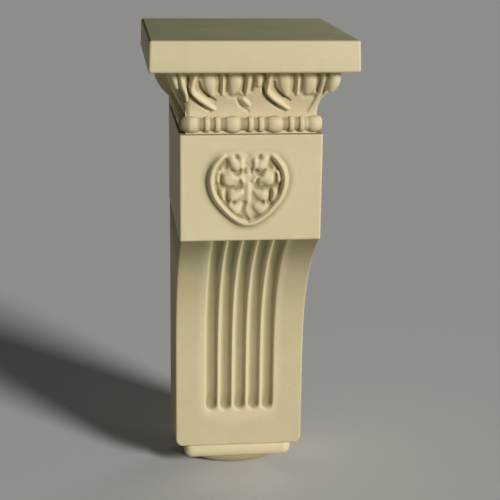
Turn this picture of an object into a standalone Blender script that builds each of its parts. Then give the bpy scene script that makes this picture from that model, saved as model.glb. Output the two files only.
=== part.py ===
"""A decorative wall bracket, cast in one piece.

From the top down it has a plain slab, a band of leaves, a row of beads and reels, a plain block
with a heart of scrolls on its face, and a fluted shaft. The shaft sweeps in under the block and
ends in a half-round moulding and a shallow pendant. Metres, +Z up, the front faces -Y, the wall
is the plane y = 0, and the origin is the middle of the wall face.
"""

import bisect
import math

import bmesh
import bpy
import numpy as np

# Slab
SLAB_WIDTH = 0.130
SLAB_DEPTH = 0.142
SLAB_HEIGHT = 0.0198
SLAB_DRAFT = 0.0007  # how much its top draws in on each side
SLAB_ROUND = 0.0019
SLAB_ROUND_SEGMENTS = 3

# Band of leaves, from the slab down to its neck
BAND_HEIGHT = 0.0286
LIP_REACH = 0.0058  # how far its lip stands out past the block
NECK_INSET = 0.0036  # how far its neck draws in from the block
FRONT_LEAVES = 2
SIDE_LEAVES = 2
LEAF_PITCH = 0.0465
LEAF_SHIFT = 0.0039  # the front's pattern closes unevenly, so it stands off the middle
SIDE_MARGIN = 0.0070
RIB_RISE = 0.0026
LOBE_RISE = 0.0024
BUD_RISE = 0.0026
TONGUE_RISE = 0.0020
CORNER_RISE = 0.0050
CORNER_SINK = 0.0015
WALL_STRIP = 0.0125  # plain strip at the wall, where the carving stops
STRIP_REACH = 0.0120  # how far the strip stands out past the block, under the slab
STRIP_LIFT = 0.0072  # it meets the block's sides this far above the block
STRIP_POWER = 3.5  # the higher it is, the lower the strip keeps its reach

# Lines of a leaf's left half and of a dart: across from the middle, down from the slab, half width
LEAF_RIB = [
    (-0.0155, 0.0000, 0.0020),
    (-0.0184, 0.0110, 0.0022),
    (-0.0112, 0.0188, 0.0022),
    (-0.0020, 0.0258, 0.0016),
]
LEAF_LOBE = [(-0.0070, 0.0000, 0.0045), (-0.0074, 0.0080, 0.0044), (-0.0050, 0.0150, 0.0020)]
LEAF_MIDRIB = [(0.0, 0.0, 0.0012), (0.0, 0.0170, 0.0010)]
DART_BUD = [(0.0, 0.0035, 0.0026), (0.0, 0.0085, 0.0024)]
DART_TONGUE = [(-0.0110, 0.0178, 0.0014), (-0.0078, 0.0218, 0.0019), (-0.0048, 0.0258, 0.0012)]
CORNER_LEAF = [(0.0, 0.0062), (0.0085, 0.0060), (0.0150, 0.0030)]  # down, half width

# Beads and reels
BEAD_ROW_HEIGHT = 0.0119
BEAD_RADIUS = 0.0053
BEAD_HALF_LENGTH = 0.0066
BEAD_INSET = 0.0054  # from the block's faces to the beads' middles
BEAD_SHIFT = 0.0017
CORNER_BEAD_RADIUS = 0.0060
CORNER_BEAD_FULLNESS = 1.03  # its half height as a share of a bead's radius
CORE_FORWARD = 0.0014  # the plain core's faces, in front of the beads' middles
REEL_RADIUS = 0.0047
REEL_WIDTH = 0.0030
REEL_FLAT = 0.6  # share of a reel's width that has its full radius
REEL_GAP = 0.0062  # between the middles of a pair of reels
REEL_GROOVE_RADIUS = 0.0033
BEADS_IN_FRONT = 4

# Block
BLOCK_WIDTH = 0.0906
BLOCK_HEIGHT = 0.0687
BLOCK_SETBACK = 0.0170  # behind the slab's front
BLOCK_ROUND = 0.0010
BLOCK_ROUND_SEGMENTS = 2

# Heart on the block
HEART_WIDTH = 0.0520
HEART_HEIGHT = 0.0500
HEART_RISE = 0.0034

# Lines of the heart's right half: across and up as shares of its half width and half height,
# and half the line's width as a share of the half width
SCROLL = [
    (0.02, -0.93, 0.07),
    (0.42, -0.76, 0.10),
    (0.76, -0.42, 0.105),
    (0.92, 0.06, 0.11),
    (0.89, 0.46, 0.11),
    (0.69, 0.80, 0.10),
]
CURL = [
    (0.66, 0.86, 0.085),
    (0.40, 0.97, 0.085),
    (0.19, 0.80, 0.08),
    (0.24, 0.54, 0.08),
    (0.46, 0.56, 0.085),
]
STEM = [(0.0, 0.70, 0.05), (0.0, 0.2, 0.08), (0.0, -0.3, 0.09), (0.0, -0.80, 0.07)]
UPPER_LOBE = [(0.04, 0.16, 0.05), (0.28, 0.12, 0.10), (0.58, 0.28, 0.15)]
MIDDLE_LOBE = [(0.04, -0.08, 0.05), (0.24, -0.12, 0.10), (0.44, -0.28, 0.15)]
OUTER_LOBE = [(0.66, 0.06, 0.06), (0.70, -0.12, 0.085), (0.62, -0.32, 0.06)]
LOWER_LOBE = [(0.04, -0.42, 0.05), (0.20, -0.50, 0.09), (0.36, -0.58, 0.11)]
HEART_LINES = [
    ("scroll", SCROLL, 3),
    ("curl", CURL, 3),
    ("upper lobe", UPPER_LOBE, 2),
    ("middle lobe", MIDDLE_LOBE, 2),
    ("outer lobe", OUTER_LOBE, 2),
    ("lower lobe", LOWER_LOBE, 2),
]

# Shaft
SHAFT_INSET = 0.0004  # its sides from the block's
SHAFT_HEIGHT = 0.1673
SWEEP_DEPTH = 0.0590
SWEEP_HEIGHT = 0.1150
SWEEP_POWER = 3.0
SWEEP_START = 0.0010  # the shaft's front at the top, behind the block's
FLUTES = 5
FLUTE_WIDTH = 0.0082
FILLET_WIDTH = 0.0017
FLUTE_DEPTH = 0.0027
FLUTE_STOP = 0.0270  # from the shaft's foot to the flutes' ends

# Foot
TORUS_WIDTH = 0.0770
TORUS_HEIGHT = 0.0122
TORUS_INSET = 0.0060  # behind the shaft's front
TORUS_ROUND = 0.49  # of its edges, as a share of its height
TORUS_ROUND_SEGMENTS = 4
PENDANT_WIDTH = 0.0620
PENDANT_DEPTH = 0.0490
PENDANT_HEIGHT = 0.0088

# How the pieces run into each other, and into the wall before it cuts them
LAP = 0.0012
BEHIND_WALL = 0.0060

# Fineness of the carving
BAND_ROWS = 10
STRIP_ROWS = 6
BEAD_SIDES = 8
BEAD_ARC = 4
CORNER_BEAD_RINGS = 8
LINE_SIDES = 6
LINE_PIECES = 3
LINE_END_SHARE = 0.55  # size of the last ring past a line's end
LINE_END_REACH = 0.75  # how far past the end it lies, in half widths
SLOPE_PIECES = 50  # the band's height over the step that its slope is read with
SWEEP_ROWS = 16
ROW_CROWDING = 1.35  # over 1, the sweep's rows lie closer together at its top
FLUTE_SEGMENTS = 4
END_ROWS = 4
PENDANT_SIDES = 24
PENDANT_RINGS = 12

CREAM = (0.66, 0.58, 0.36, 1.0)
ROUGHNESS = 0.62

ORNAMENT_HEIGHT = BAND_HEIGHT + BEAD_ROW_HEIGHT + BLOCK_HEIGHT
HEIGHT = SLAB_HEIGHT + ORNAMENT_HEIGHT + SHAFT_HEIGHT + TORUS_HEIGHT + PENDANT_HEIGHT
TOP = HEIGHT / 2
BAND_TOP = TOP - SLAB_HEIGHT
BEADS_TOP = BAND_TOP - BAND_HEIGHT
BLOCK_TOP = BEADS_TOP - BEAD_ROW_HEIGHT
BLOCK_FOOT = BLOCK_TOP - BLOCK_HEIGHT
SHAFT_FOOT = BLOCK_FOOT - SHAFT_HEIGHT
TORUS_FOOT = SHAFT_FOOT - TORUS_HEIGHT
BLOCK_DEPTH = SLAB_DEPTH - BLOCK_SETBACK
HALF_BLOCK = BLOCK_WIDTH / 2
HALF_SHAFT = HALF_BLOCK - SHAFT_INSET
SHAFT_FOOT_DEPTH = BLOCK_DEPTH - SWEEP_START - SWEEP_DEPTH


def clear_scene():
    for thing in list(bpy.data.objects):
        bpy.data.objects.remove(thing, do_unlink=True)


def plaster():
    material = bpy.data.materials.new("cream cast plaster")
    material.use_nodes = True
    shader = material.node_tree.nodes["Principled BSDF"]
    shader.inputs["Base Color"].default_value = CREAM
    shader.inputs["Roughness"].default_value = ROUGHNESS
    shader.inputs["Metallic"].default_value = 0.0
    return material


def add_object(name, bm, material):
    """Makes an object of a bmesh, with its normals out."""
    bmesh.ops.recalc_face_normals(bm, faces=bm.faces)
    mesh = bpy.data.meshes.new(name)
    bm.to_mesh(mesh)
    bm.free()
    mesh.materials.append(material)
    thing = bpy.data.objects.new(name, mesh)
    bpy.context.scene.collection.objects.link(thing)
    return thing


def box_mesh(low, high):
    bm = bmesh.new()
    bmesh.ops.create_cube(bm, size=1.0)
    for vertex in bm.verts:
        for axis in range(3):
            vertex.co[axis] = low[axis] if vertex.co[axis] < 0 else high[axis]
    return bm


def rounded_box(name, low, high, radius, segments, material):
    thing = add_object(name, box_mesh(low, high), material)
    bevel = thing.modifiers.new("rounded edges", "BEVEL")
    bevel.width = radius
    bevel.segments = segments
    bevel.limit_method = "ANGLE"
    return thing


def skin(bm, grid):
    """Adds a sheet of quads over a grid of points, and returns its rows of vertices."""
    rows = [[bm.verts.new(point) for point in row] for row in grid]
    for upper, lower in zip(rows, rows[1:]):
        for i in range(len(upper) - 1):
            bm.faces.new((upper[i], upper[i + 1], lower[i + 1], lower[i]))
    return rows


def curve_through(points, pieces):
    """Points along a smooth line through the given ones, pieces of it between each two."""
    points = np.asarray(points, float)
    ends = np.vstack([2 * points[0] - points[1], points, 2 * points[-1] - points[-2]])
    found = []
    for i in range(len(points) - 1):
        a, b, c, d = ends[i : i + 4]
        t = np.linspace(0, 1, pieces, endpoint=False)[:, None]
        bend = (2 * a - 5 * b + 4 * c - d) * t**2 + (3 * b - a - 3 * c + d) * t**3
        found.append(0.5 * (2 * b + (c - a) * t + bend))
    return np.vstack([*found, points[-1:]])


def carved_line(name, face, points, rise, material, pieces=LINE_PIECES):
    """A rounded ridge that lies half sunk in a face.

    face gives the place and the outward normal at (across, down), and each of the points is
    (across, down, half width). rise is how far the ridge stands out where it is widest.
    """
    spine = curve_through(points, pieces)
    places = np.array([face(across, down)[0] for across, down, _ in spine])
    normals = np.array([face(across, down)[1] for across, down, _ in spine])
    tangents = np.gradient(places, axis=0)
    tangents /= np.linalg.norm(tangents, axis=1)[:, None]
    sideways = np.cross(tangents, normals)
    sideways /= np.linalg.norm(sideways, axis=1)[:, None]
    widest = spine[:, 2].max()
    bm = bmesh.new()
    rings = []

    def ring(i, share, along):
        """A ring of the ridge's section at point i, scaled, and moved along the line."""
        half = spine[i, 2]
        middle = places[i] + tangents[i] * along
        turns = [2 * math.pi * (k + 0.5) / LINE_SIDES for k in range(LINE_SIDES)]
        height = rise * math.sqrt(half / widest)
        return [
            bm.verts.new(
                middle + share * (sideways[i] * half * math.cos(t) + normals[i] * height * math.sin(t))
            )
            for t in turns
        ]

    rings.append(ring(0, LINE_END_SHARE, -LINE_END_REACH * spine[0, 2]))
    rings += [ring(i, 1.0, 0.0) for i in range(len(spine))]
    rings.append(ring(len(spine) - 1, LINE_END_SHARE, LINE_END_REACH * spine[-1, 2]))
    for a, b in zip(rings, rings[1:]):
        for k in range(LINE_SIDES):
            after = (k + 1) % LINE_SIDES
            bm.faces.new((a[k], a[after], b[after], b[k]))
    bm.faces.new(rings[0])
    bm.faces.new(rings[-1])
    return add_object(name, bm, material)


def mirrored(points):
    return [(-across, down, half) for across, down, half in points]


def placed(points, middle, stretch):
    """A line moved to its leaf's middle, and stretched across with the pattern's pitch."""
    return [(middle + across * stretch, down, half) for across, down, half in points]


def band_profile(down):
    """How far the plain band stands out past the block, at a depth below the slab."""
    share = 0.5 + 0.5 * math.cos(math.pi * min(1.0, max(0.0, down / BAND_HEIGHT)))
    return -NECK_INSET + (LIP_REACH + NECK_INSET) * share


def profile_lean(down):
    """How far the band's outward normal leans down, as a slope."""
    step = BAND_HEIGHT / SLOPE_PIECES
    return (band_profile(down - step) - band_profile(down + step)) / (2 * step)


def front_face(across, down):
    """Place and outward normal on the band's front."""
    place = np.array([across, -(BLOCK_DEPTH + band_profile(down)), BAND_TOP - down])
    normal = np.array([0.0, -1.0, -profile_lean(down)])
    return place, normal / np.linalg.norm(normal)


def side_face(side):
    """The same on a side of the band; across is measured from the lip's front corner."""

    def face(across, down):
        y = across - BLOCK_DEPTH - LIP_REACH
        place = np.array([side * (HALF_BLOCK + band_profile(down)), y, BAND_TOP - down])
        normal = np.array([side, 0.0, -profile_lean(down)])
        return place, normal / np.linalg.norm(normal)

    return face


def corner_face(side):
    """The same down a front corner of the band, where across is along the diagonal's normal."""

    def face(across, down):
        reach = band_profile(down) - CORNER_SINK
        x = side * (HALF_BLOCK + reach + across)
        place = np.array([x, -(BLOCK_DEPTH + reach - across), BAND_TOP - down])
        normal = np.array([side, -1.0, -profile_lean(down)])
        return place, normal / np.linalg.norm(normal)

    return face


def leaf(name, face, middle, stretch, material):
    """One leaf: two curved ribs that meet in its tip, two lobes between them, and a midrib."""
    lines = []
    for turned, side in ((list, "left"), (mirrored, "right")):
        for points, rise, part in ((LEAF_RIB, RIB_RISE, "rib"), (LEAF_LOBE, LOBE_RISE, "lobe")):
            line = placed(turned(points), middle, stretch)
            lines.append(carved_line(f"{name} {side} {part}", face, line, rise, material))
    line = placed(LEAF_MIDRIB, middle, stretch)
    lines.append(carved_line(f"{name} midrib", face, line, RIB_RISE, material, 3))
    return lines


def dart(name, face, middle, stretch, material):
    """What stands between two leaves: a bud, and a curled tongue below it."""
    return [
        carved_line(f"{name} bud", face, placed(DART_BUD, middle, stretch), BUD_RISE, material),
        carved_line(f"{name} tongue", face, placed(DART_TONGUE, middle, stretch), TONGUE_RISE, material, 3),
    ]


def leaves(material):
    """The leaves and darts along the front and both sides, and the leaves at the corners."""
    carved = []
    for k in range(-FRONT_LEAVES, FRONT_LEAVES + 1):
        middle = LEAF_SHIFT + k * LEAF_PITCH / 2
        if k % 2 and abs(k) < FRONT_LEAVES:
            carved += leaf(f"front leaf {k}", front_face, middle, 1.0, material)
        elif not k % 2 and abs(middle) < HALF_BLOCK - LEAF_PITCH / 4:
            carved += dart(f"front dart {k}", front_face, middle, 1.0, material)
    run = BLOCK_DEPTH + LIP_REACH - WALL_STRIP - 2 * SIDE_MARGIN
    pitch = run / SIDE_LEAVES
    for side, name in ((-1, "left"), (1, "right")):
        face = side_face(side)
        for k in range(SIDE_LEAVES):
            middle = SIDE_MARGIN + (k + 0.5) * pitch
            carved += leaf(f"{name} leaf {k}", face, middle, pitch / LEAF_PITCH, material)
            carved += dart(f"{name} dart {k}", face, middle + pitch / 2, pitch / LEAF_PITCH, material)
        line = [(0.0, down, half) for down, half in CORNER_LEAF]
        carved.append(carved_line(f"{name} corner leaf", corner_face(side), line, CORNER_RISE, material))
    return carved


def band(material):
    """The plain band that the leaves are carved on: a hollow curve swept round three sides."""
    rows = []
    for k in range(BAND_ROWS + 1):
        down = -LAP + (BAND_HEIGHT + 2 * LAP) * k / BAND_ROWS
        half = HALF_BLOCK + band_profile(down)
        front = -(BLOCK_DEPTH + band_profile(down))
        corners = [(-half, BEHIND_WALL), (-half, front), (half, front), (half, BEHIND_WALL)]
        rows.append([(x, y, BAND_TOP - down) for x, y in corners])
    bm = bmesh.new()
    made = skin(bm, rows)
    bm.faces.new(made[0])
    bm.faces.new(made[-1])
    bm.faces.new([row[0] for row in made] + [row[-1] for row in reversed(made)])
    return add_object("band", bm, material)


def turned_rod(bm, radii, start, along, inward):
    """A rod turned about a line: radii holds its places along the line and radii there."""
    start, along, inward = (np.array(given, float) for given in (start, along, inward))
    up = np.array([0.0, 0.0, 1.0])
    rings = []
    for place, radius in radii:
        ring = []
        for k in range(BEAD_SIDES):
            turn = 2 * math.pi * k / BEAD_SIDES
            away = radius * (inward * math.cos(turn) + up * math.sin(turn))
            ring.append(bm.verts.new(start + along * place + away))
        rings.append(ring)
    for a, b in zip(rings, rings[1:]):
        for k in range(BEAD_SIDES):
            after = (k + 1) % BEAD_SIDES
            bm.faces.new((a[k], a[after], b[after], b[k]))
    bm.faces.new(rings[0])
    bm.faces.new(rings[-1])


def bead_and_reel(places, first, last):
    """Profile of a row of beads, with a pair of reels between neighbours, as (place, radius)."""
    profile = [(first, REEL_GROOVE_RADIUS)]
    reels = [(a + b) / 2 + side * REEL_GAP / 2 for a, b in zip(places, places[1:]) for side in (-1, 1)]
    half, flat = REEL_WIDTH / 2, REEL_WIDTH * REEL_FLAT / 2
    for middle in sorted([*places, *reels]):
        if middle in reels:
            profile.append((middle - half, REEL_GROOVE_RADIUS))
            profile.append((middle - flat, REEL_RADIUS))
            profile.append((middle + flat, REEL_RADIUS))
            profile.append((middle + half, REEL_GROOVE_RADIUS))
            continue
        least = math.asin(REEL_GROOVE_RADIUS / BEAD_RADIUS)
        for k in range(BEAD_ARC + 1):
            turn = least + (math.pi - 2 * least) * k / BEAD_ARC
            profile.append((middle - BEAD_HALF_LENGTH * math.cos(turn), BEAD_RADIUS * math.sin(turn)))
    profile.append((last, REEL_GROOVE_RADIUS))
    return [p for p in profile if first <= p[0] <= last]


def bead_rows(material):
    """Rods of beads and reels along the front and both sides."""
    middle = BEADS_TOP - BEAD_ROW_HEIGHT / 2
    half = HALF_BLOCK - BEAD_INSET
    front = BLOCK_DEPTH - BEAD_INSET
    pitch = 2 * half / (BEADS_IN_FRONT - 1)
    places = [-half + k * pitch for k in range(BEADS_IN_FRONT)]
    places = [places[0], *[p + BEAD_SHIFT for p in places[1:-1]], places[-1]]
    rods = []
    bm = bmesh.new()
    turned_rod(bm, bead_and_reel(places, -half, half), (0, -front, middle), (1, 0, 0), (0, 1, 0))
    rods.append(add_object("front beads", bm, material))
    count = math.ceil(front / pitch) + 1
    for side, name in ((-1, "left beads"), (1, "right beads")):
        bm = bmesh.new()
        profile = bead_and_reel([k * pitch for k in range(count)], 0.0, front + BEHIND_WALL / 2)
        turned_rod(bm, profile, (side * half, -front, middle), (0, 1, 0), (-side, 0, 0))
        rods.append(add_object(name, bm, material))
        bm = bmesh.new()
        bmesh.ops.create_uvsphere(bm, u_segments=BEAD_SIDES, v_segments=CORNER_BEAD_RINGS, radius=1.0)
        for vertex in bm.verts:
            vertex.co.x = vertex.co.x * CORNER_BEAD_RADIUS + side * (HALF_BLOCK - CORNER_BEAD_RADIUS)
            vertex.co.y = vertex.co.y * CORNER_BEAD_RADIUS - (BLOCK_DEPTH - CORNER_BEAD_RADIUS)
            vertex.co.z = vertex.co.z * BEAD_RADIUS * CORNER_BEAD_FULLNESS + middle
        rods.append(add_object(name.replace("beads", "corner bead"), bm, material))
    return rods


def neck_core(material):
    """Plain core behind the band and the beads, from the slab into the block."""
    half = HALF_BLOCK - BEAD_INSET + CORE_FORWARD
    front = BLOCK_DEPTH - BEAD_INSET + CORE_FORWARD
    low = (-half, -front, BLOCK_TOP - LAP)
    return add_object("neck core", box_mesh(low, (half, BEHIND_WALL, BAND_TOP + LAP)), material)


def wall_strip(material):
    """Plain strip at the wall: from the block's sides it bellies out to the slab."""
    drop = BAND_TOP - BLOCK_TOP - STRIP_LIFT
    outline = [(HALF_BLOCK + STRIP_REACH, BAND_TOP + LAP)]
    for k in range(STRIP_ROWS + 1):
        share = k / STRIP_ROWS
        outline.append((HALF_BLOCK + STRIP_REACH * (1 - share**STRIP_POWER), BAND_TOP - drop * share))
    outline.append((HALF_BLOCK, BLOCK_TOP - LAP))
    outline += [(-x, z) for x, z in reversed(outline)]
    bm = bmesh.new()
    front, back = ([bm.verts.new((x, y, z)) for x, z in outline] for y in (-WALL_STRIP, BEHIND_WALL))
    for i in range(len(outline)):
        after = (i + 1) % len(outline)
        bm.faces.new((front[i], front[after], back[after], back[i]))
    bm.faces.new(front)
    bm.faces.new(back)
    return add_object("wall strip", bm, material)


def block(material):
    low = (-HALF_BLOCK, -BLOCK_DEPTH, BLOCK_FOOT)
    high = (HALF_BLOCK, BEHIND_WALL, BLOCK_TOP)
    return rounded_box("block", low, high, BLOCK_ROUND, BLOCK_ROUND_SEGMENTS, material)


def heart_face(across, down):
    """Place and outward normal on the block's face, from the heart's middle."""
    middle = (BLOCK_TOP + BLOCK_FOOT) / 2
    return np.array([across, -BLOCK_DEPTH, middle - down]), np.array([0.0, -1.0, 0.0])


def heart_line(points):
    """A line given as shares of the heart's half width and half height, in metres."""
    return [
        (across * HEART_WIDTH / 2, -up * HEART_HEIGHT / 2, half * HEART_WIDTH / 2)
        for across, up, half in points
    ]


def heart(material):
    """A heart of two scrolls round a palmette, raised from the block's face."""
    carved = [carved_line("palmette stem", heart_face, heart_line(STEM), HEART_RISE, material, 3)]
    for name, points, pieces in HEART_LINES:
        for turned, side in ((list, "right"), (mirrored, "left")):
            line = heart_line(turned(points))
            carved.append(carved_line(f"{side} {name}", heart_face, line, HEART_RISE, material, pieces))
    return carved


def sweep(drop):
    """How far the shaft's front is behind its top, at a drop below the block."""
    left = max(0.0, 1 - max(0.0, drop) / SWEEP_HEIGHT)
    return SWEEP_START + SWEEP_DEPTH * (1 - left**SWEEP_POWER)


def flute_columns():
    """Places across the shaft where its front bends, and the flute that each belongs to."""
    pitch = FLUTE_WIDTH + FILLET_WIDTH
    columns = [-HALF_SHAFT]
    for k in range(FLUTES):
        middle = (k - (FLUTES - 1) / 2) * pitch
        for i in range(FLUTE_SEGMENTS + 1):
            columns.append(middle - FLUTE_WIDTH / 2 * math.cos(math.pi * i / FLUTE_SEGMENTS))
    columns.append(HALF_SHAFT)
    return columns


def flute_depth(across, drop):
    """How deep the flutes are cut at a place on the shaft's front."""
    pitch = FLUTE_WIDTH + FILLET_WIDTH
    k = min(FLUTES - 1, max(0, round(across / pitch + (FLUTES - 1) / 2)))
    off = across - (k - (FLUTES - 1) / 2) * pitch
    past = max(0.0, drop - (SHAFT_HEIGHT - FLUTE_STOP - FLUTE_WIDTH / 2))
    away = math.hypot(off, past) / (FLUTE_WIDTH / 2)
    return FLUTE_DEPTH * math.sqrt(max(0.0, 1 - away**2))


def shaft_drops():
    """Depths below the block of the rows of points down the shaft's front."""
    end = SHAFT_HEIGHT - FLUTE_STOP
    bend = min(SWEEP_HEIGHT, end - FLUTE_WIDTH)
    drops = [bend * (k / SWEEP_ROWS) ** ROW_CROWDING for k in range(SWEEP_ROWS + 1)]
    drops.append((bend + end - FLUTE_WIDTH / 2) / 2)
    drops += [end - FLUTE_WIDTH / 2 * math.cos(math.pi / 2 * k / END_ROWS) for k in range(END_ROWS + 1)]
    bisect.insort(drops, SHAFT_HEIGHT)
    return [-LAP, *drops]


def shaft(material):
    """The shaft: its front sweeps in under the block and carries the flutes."""
    columns = flute_columns()
    drops = shaft_drops()
    front = []
    back = []
    for drop in drops:
        face = -(BLOCK_DEPTH - sweep(drop))
        z = BLOCK_FOOT - drop
        front.append([(x, face + flute_depth(x, drop), z) for x in columns])
        back.append([(x, BEHIND_WALL, z) for x in columns])
    bm = bmesh.new()
    rows = skin(bm, front)
    corners = [bm.verts.new(back[i][j]) for i in (0, -1) for j in (0, -1)]
    upper_left, upper_right, lower_left, lower_right = corners
    bm.faces.new([*rows[0], upper_right, upper_left])
    bm.faces.new([*rows[-1], lower_right, lower_left])
    bm.faces.new([*[row[0] for row in rows], lower_left, upper_left])
    bm.faces.new([*[row[-1] for row in rows], lower_right, upper_right])
    bm.faces.new((upper_left, upper_right, lower_right, lower_left))
    return add_object("shaft", bm, material)


def torus(material):
    """The half-round moulding under the shaft."""
    depth = SHAFT_FOOT_DEPTH - TORUS_INSET
    low = (-TORUS_WIDTH / 2, -depth, TORUS_FOOT)
    high = (TORUS_WIDTH / 2, BEHIND_WALL + TORUS_HEIGHT, SHAFT_FOOT + LAP / 2)
    return rounded_box("torus", low, high, TORUS_HEIGHT * TORUS_ROUND, TORUS_ROUND_SEGMENTS, material)


def pendant(material):
    """The shallow dish under the torus, with its rim just inside it."""
    rim = TORUS_FOOT + LAP / 2
    bm = bmesh.new()
    bmesh.ops.create_uvsphere(bm, u_segments=PENDANT_SIDES, v_segments=PENDANT_RINGS, radius=1.0)
    for vertex in bm.verts:
        vertex.co.x *= PENDANT_WIDTH / 2
        vertex.co.y *= PENDANT_DEPTH
        vertex.co.z = rim + vertex.co.z * (PENDANT_HEIGHT + LAP / 2)
    return add_object("pendant", bm, material)


def slab(material):
    """The slab, drawn in a little towards its top."""
    bm = box_mesh((-SLAB_WIDTH / 2, -SLAB_DEPTH, BAND_TOP), (SLAB_WIDTH / 2, BEHIND_WALL, TOP))
    for vertex in bm.verts:
        if vertex.co.z > BAND_TOP + SLAB_HEIGHT / 2:
            vertex.co.x -= math.copysign(SLAB_DRAFT, vertex.co.x)
            if vertex.co.y < 0:
                vertex.co.y += SLAB_DRAFT
    thing = add_object("bracket", bm, material)
    bevel = thing.modifiers.new("rounded edges", "BEVEL")
    bevel.width = SLAB_ROUND
    bevel.segments = SLAB_ROUND_SEGMENTS
    bevel.limit_method = "ANGLE"
    return thing


def combine(body, helper, operation):
    """Joins a helper to the body, or cuts it out, and hides the helper."""
    boolean = body.modifiers.new(helper.name, "BOOLEAN")
    boolean.object = helper
    boolean.operation = operation
    boolean.solver = "EXACT"
    boolean.use_self = True
    helper.hide_render = True
    helper.display_type = "WIRE"


def main():
    clear_scene()
    material = plaster()
    body = slab(material)
    pieces = [
        neck_core(material),
        wall_strip(material),
        band(material),
        *leaves(material),
        *bead_rows(material),
        block(material),
        *heart(material),
        shaft(material),
        torus(material),
        pendant(material),
    ]
    for piece in pieces:
        combine(body, piece, "UNION")
    reach = max(SLAB_WIDTH, HEIGHT)
    wall = box_mesh((-reach, 0.0, -reach), (reach, reach, reach))
    combine(body, add_object("wall", wall, material), "DIFFERENCE")


main()
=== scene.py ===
"""The looks of a cast plaster wall bracket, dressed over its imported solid.

Each part of the casting is a class that holds its sizes and models its own piece: the slab, the
neck behind the ornament, the band of leaves, the rows of beads and reels, the block with its
heart, the fluted shaft and the foot. The carving is worked into fine faces as marks of a tool.
Metres, +Z up, the front faces -Y, and the wall is the plane y = 0.
"""

import logging
import math
from collections.abc import Callable, Iterable, Sequence
from dataclasses import dataclass, field
from enum import Enum

import bpy
import numpy as np
from mathutils import Matrix, Vector


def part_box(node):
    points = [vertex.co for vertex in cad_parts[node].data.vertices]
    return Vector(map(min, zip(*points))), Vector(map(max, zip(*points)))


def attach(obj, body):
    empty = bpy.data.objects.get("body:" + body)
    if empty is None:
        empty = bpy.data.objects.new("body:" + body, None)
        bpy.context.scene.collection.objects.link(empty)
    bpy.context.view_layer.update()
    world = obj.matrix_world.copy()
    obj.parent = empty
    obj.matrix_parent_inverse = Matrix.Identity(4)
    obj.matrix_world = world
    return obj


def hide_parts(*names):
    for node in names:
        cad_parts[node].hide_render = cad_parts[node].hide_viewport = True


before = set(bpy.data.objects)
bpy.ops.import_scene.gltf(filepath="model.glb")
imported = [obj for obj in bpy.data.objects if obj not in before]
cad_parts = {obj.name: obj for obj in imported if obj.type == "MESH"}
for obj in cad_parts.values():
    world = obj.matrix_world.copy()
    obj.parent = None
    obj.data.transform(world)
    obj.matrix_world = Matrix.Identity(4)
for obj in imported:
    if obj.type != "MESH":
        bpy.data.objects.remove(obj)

Colour = tuple[float, float, float, float]
Line = Sequence[tuple[float, float, float]]
NODE = "bracket"
BODY = "root"
RECESS = "recess"  # the attribute that says how deep in a hollow a point lies, plus other painted shade; the finish darkens it as painted shade
ARRIS_STEPS = 5  # columns or rows on a rounded arris
EDGE_FADE = 0.004  # how far in from its edge a face's unevenness is full
BLEND = 0.0006  # fillet between two marks
REACH = 1.6  # how far from its line a mark is worked, in half widths
FLANK = 1.6  # how steeply a raised mark's sides fall past its half width
AWAY = 1.0  # a place that no mark reaches
log = logging.getLogger("bracket")


class Section(Enum):
    """How a tool's mark is shaped across its line."""

    ROUND = "round"
    SOFT = "soft"
    CROWN = "crown"


def smooth_line(points: Line, pieces: int) -> np.ndarray:
    """Points along a smooth line through the given ones.

    Args:
        points: The points that the line passes through.
        pieces: How many pieces lie between each two.

    Returns:
        One row for each point.
    """
    given = np.asarray(points, float)
    ends = np.vstack([2 * given[0] - given[1], given, 2 * given[-1] - given[-2]])
    found = []
    for i in range(len(given) - 1):
        a, b, c, d = ends[i : i + 4]
        t = np.linspace(0, 1, pieces, endpoint=False)[:, None]
        bend = (2 * a - 5 * b + 4 * c - d) * t**2 + (3 * b - a - 3 * c + d) * t**3
        found.append(0.5 * (2 * b + (c - a) * t + bend))
    return np.vstack([*found, given[-1:]])


def smooth_max(a: np.ndarray, b: np.ndarray, blend: float) -> np.ndarray:
    """The greater of two heights, with a fillet where they meet."""
    return np.maximum(a, b) + np.maximum(blend - np.abs(a - b), 0) ** 2 / (4 * blend)


def smooth_step(share: np.ndarray) -> np.ndarray:
    """Turns 0 to 1 into a curve that starts and ends level."""
    held = np.clip(share, 0, 1)
    return held * held * (3 - 2 * held)


def edge_round(distance: np.ndarray, radius: float) -> np.ndarray:
    """How far a rounded arris falls back from its face.

    Args:
        distance: Distances from the edge.
        radius: The arris's radius.

    Returns:
        The fall at each distance, nothing past the radius.
    """
    left = np.clip(radius - distance, 0, radius)
    return radius - np.sqrt(radius**2 - left**2)


def arris_places(low: float, high: float, radius: float, step: float) -> np.ndarray:
    """Places for the columns or rows of a face, close together on its two rounded edges."""
    turns = np.linspace(0, math.pi / 2, ARRIS_STEPS, endpoint=False)
    near = low + radius * (1 - np.cos(turns))
    middle = np.linspace(low + radius, high - radius, max(2, round((high - low - 2 * radius) / step)))
    return np.concatenate([near, middle, (low + high) - near[::-1]])


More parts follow.
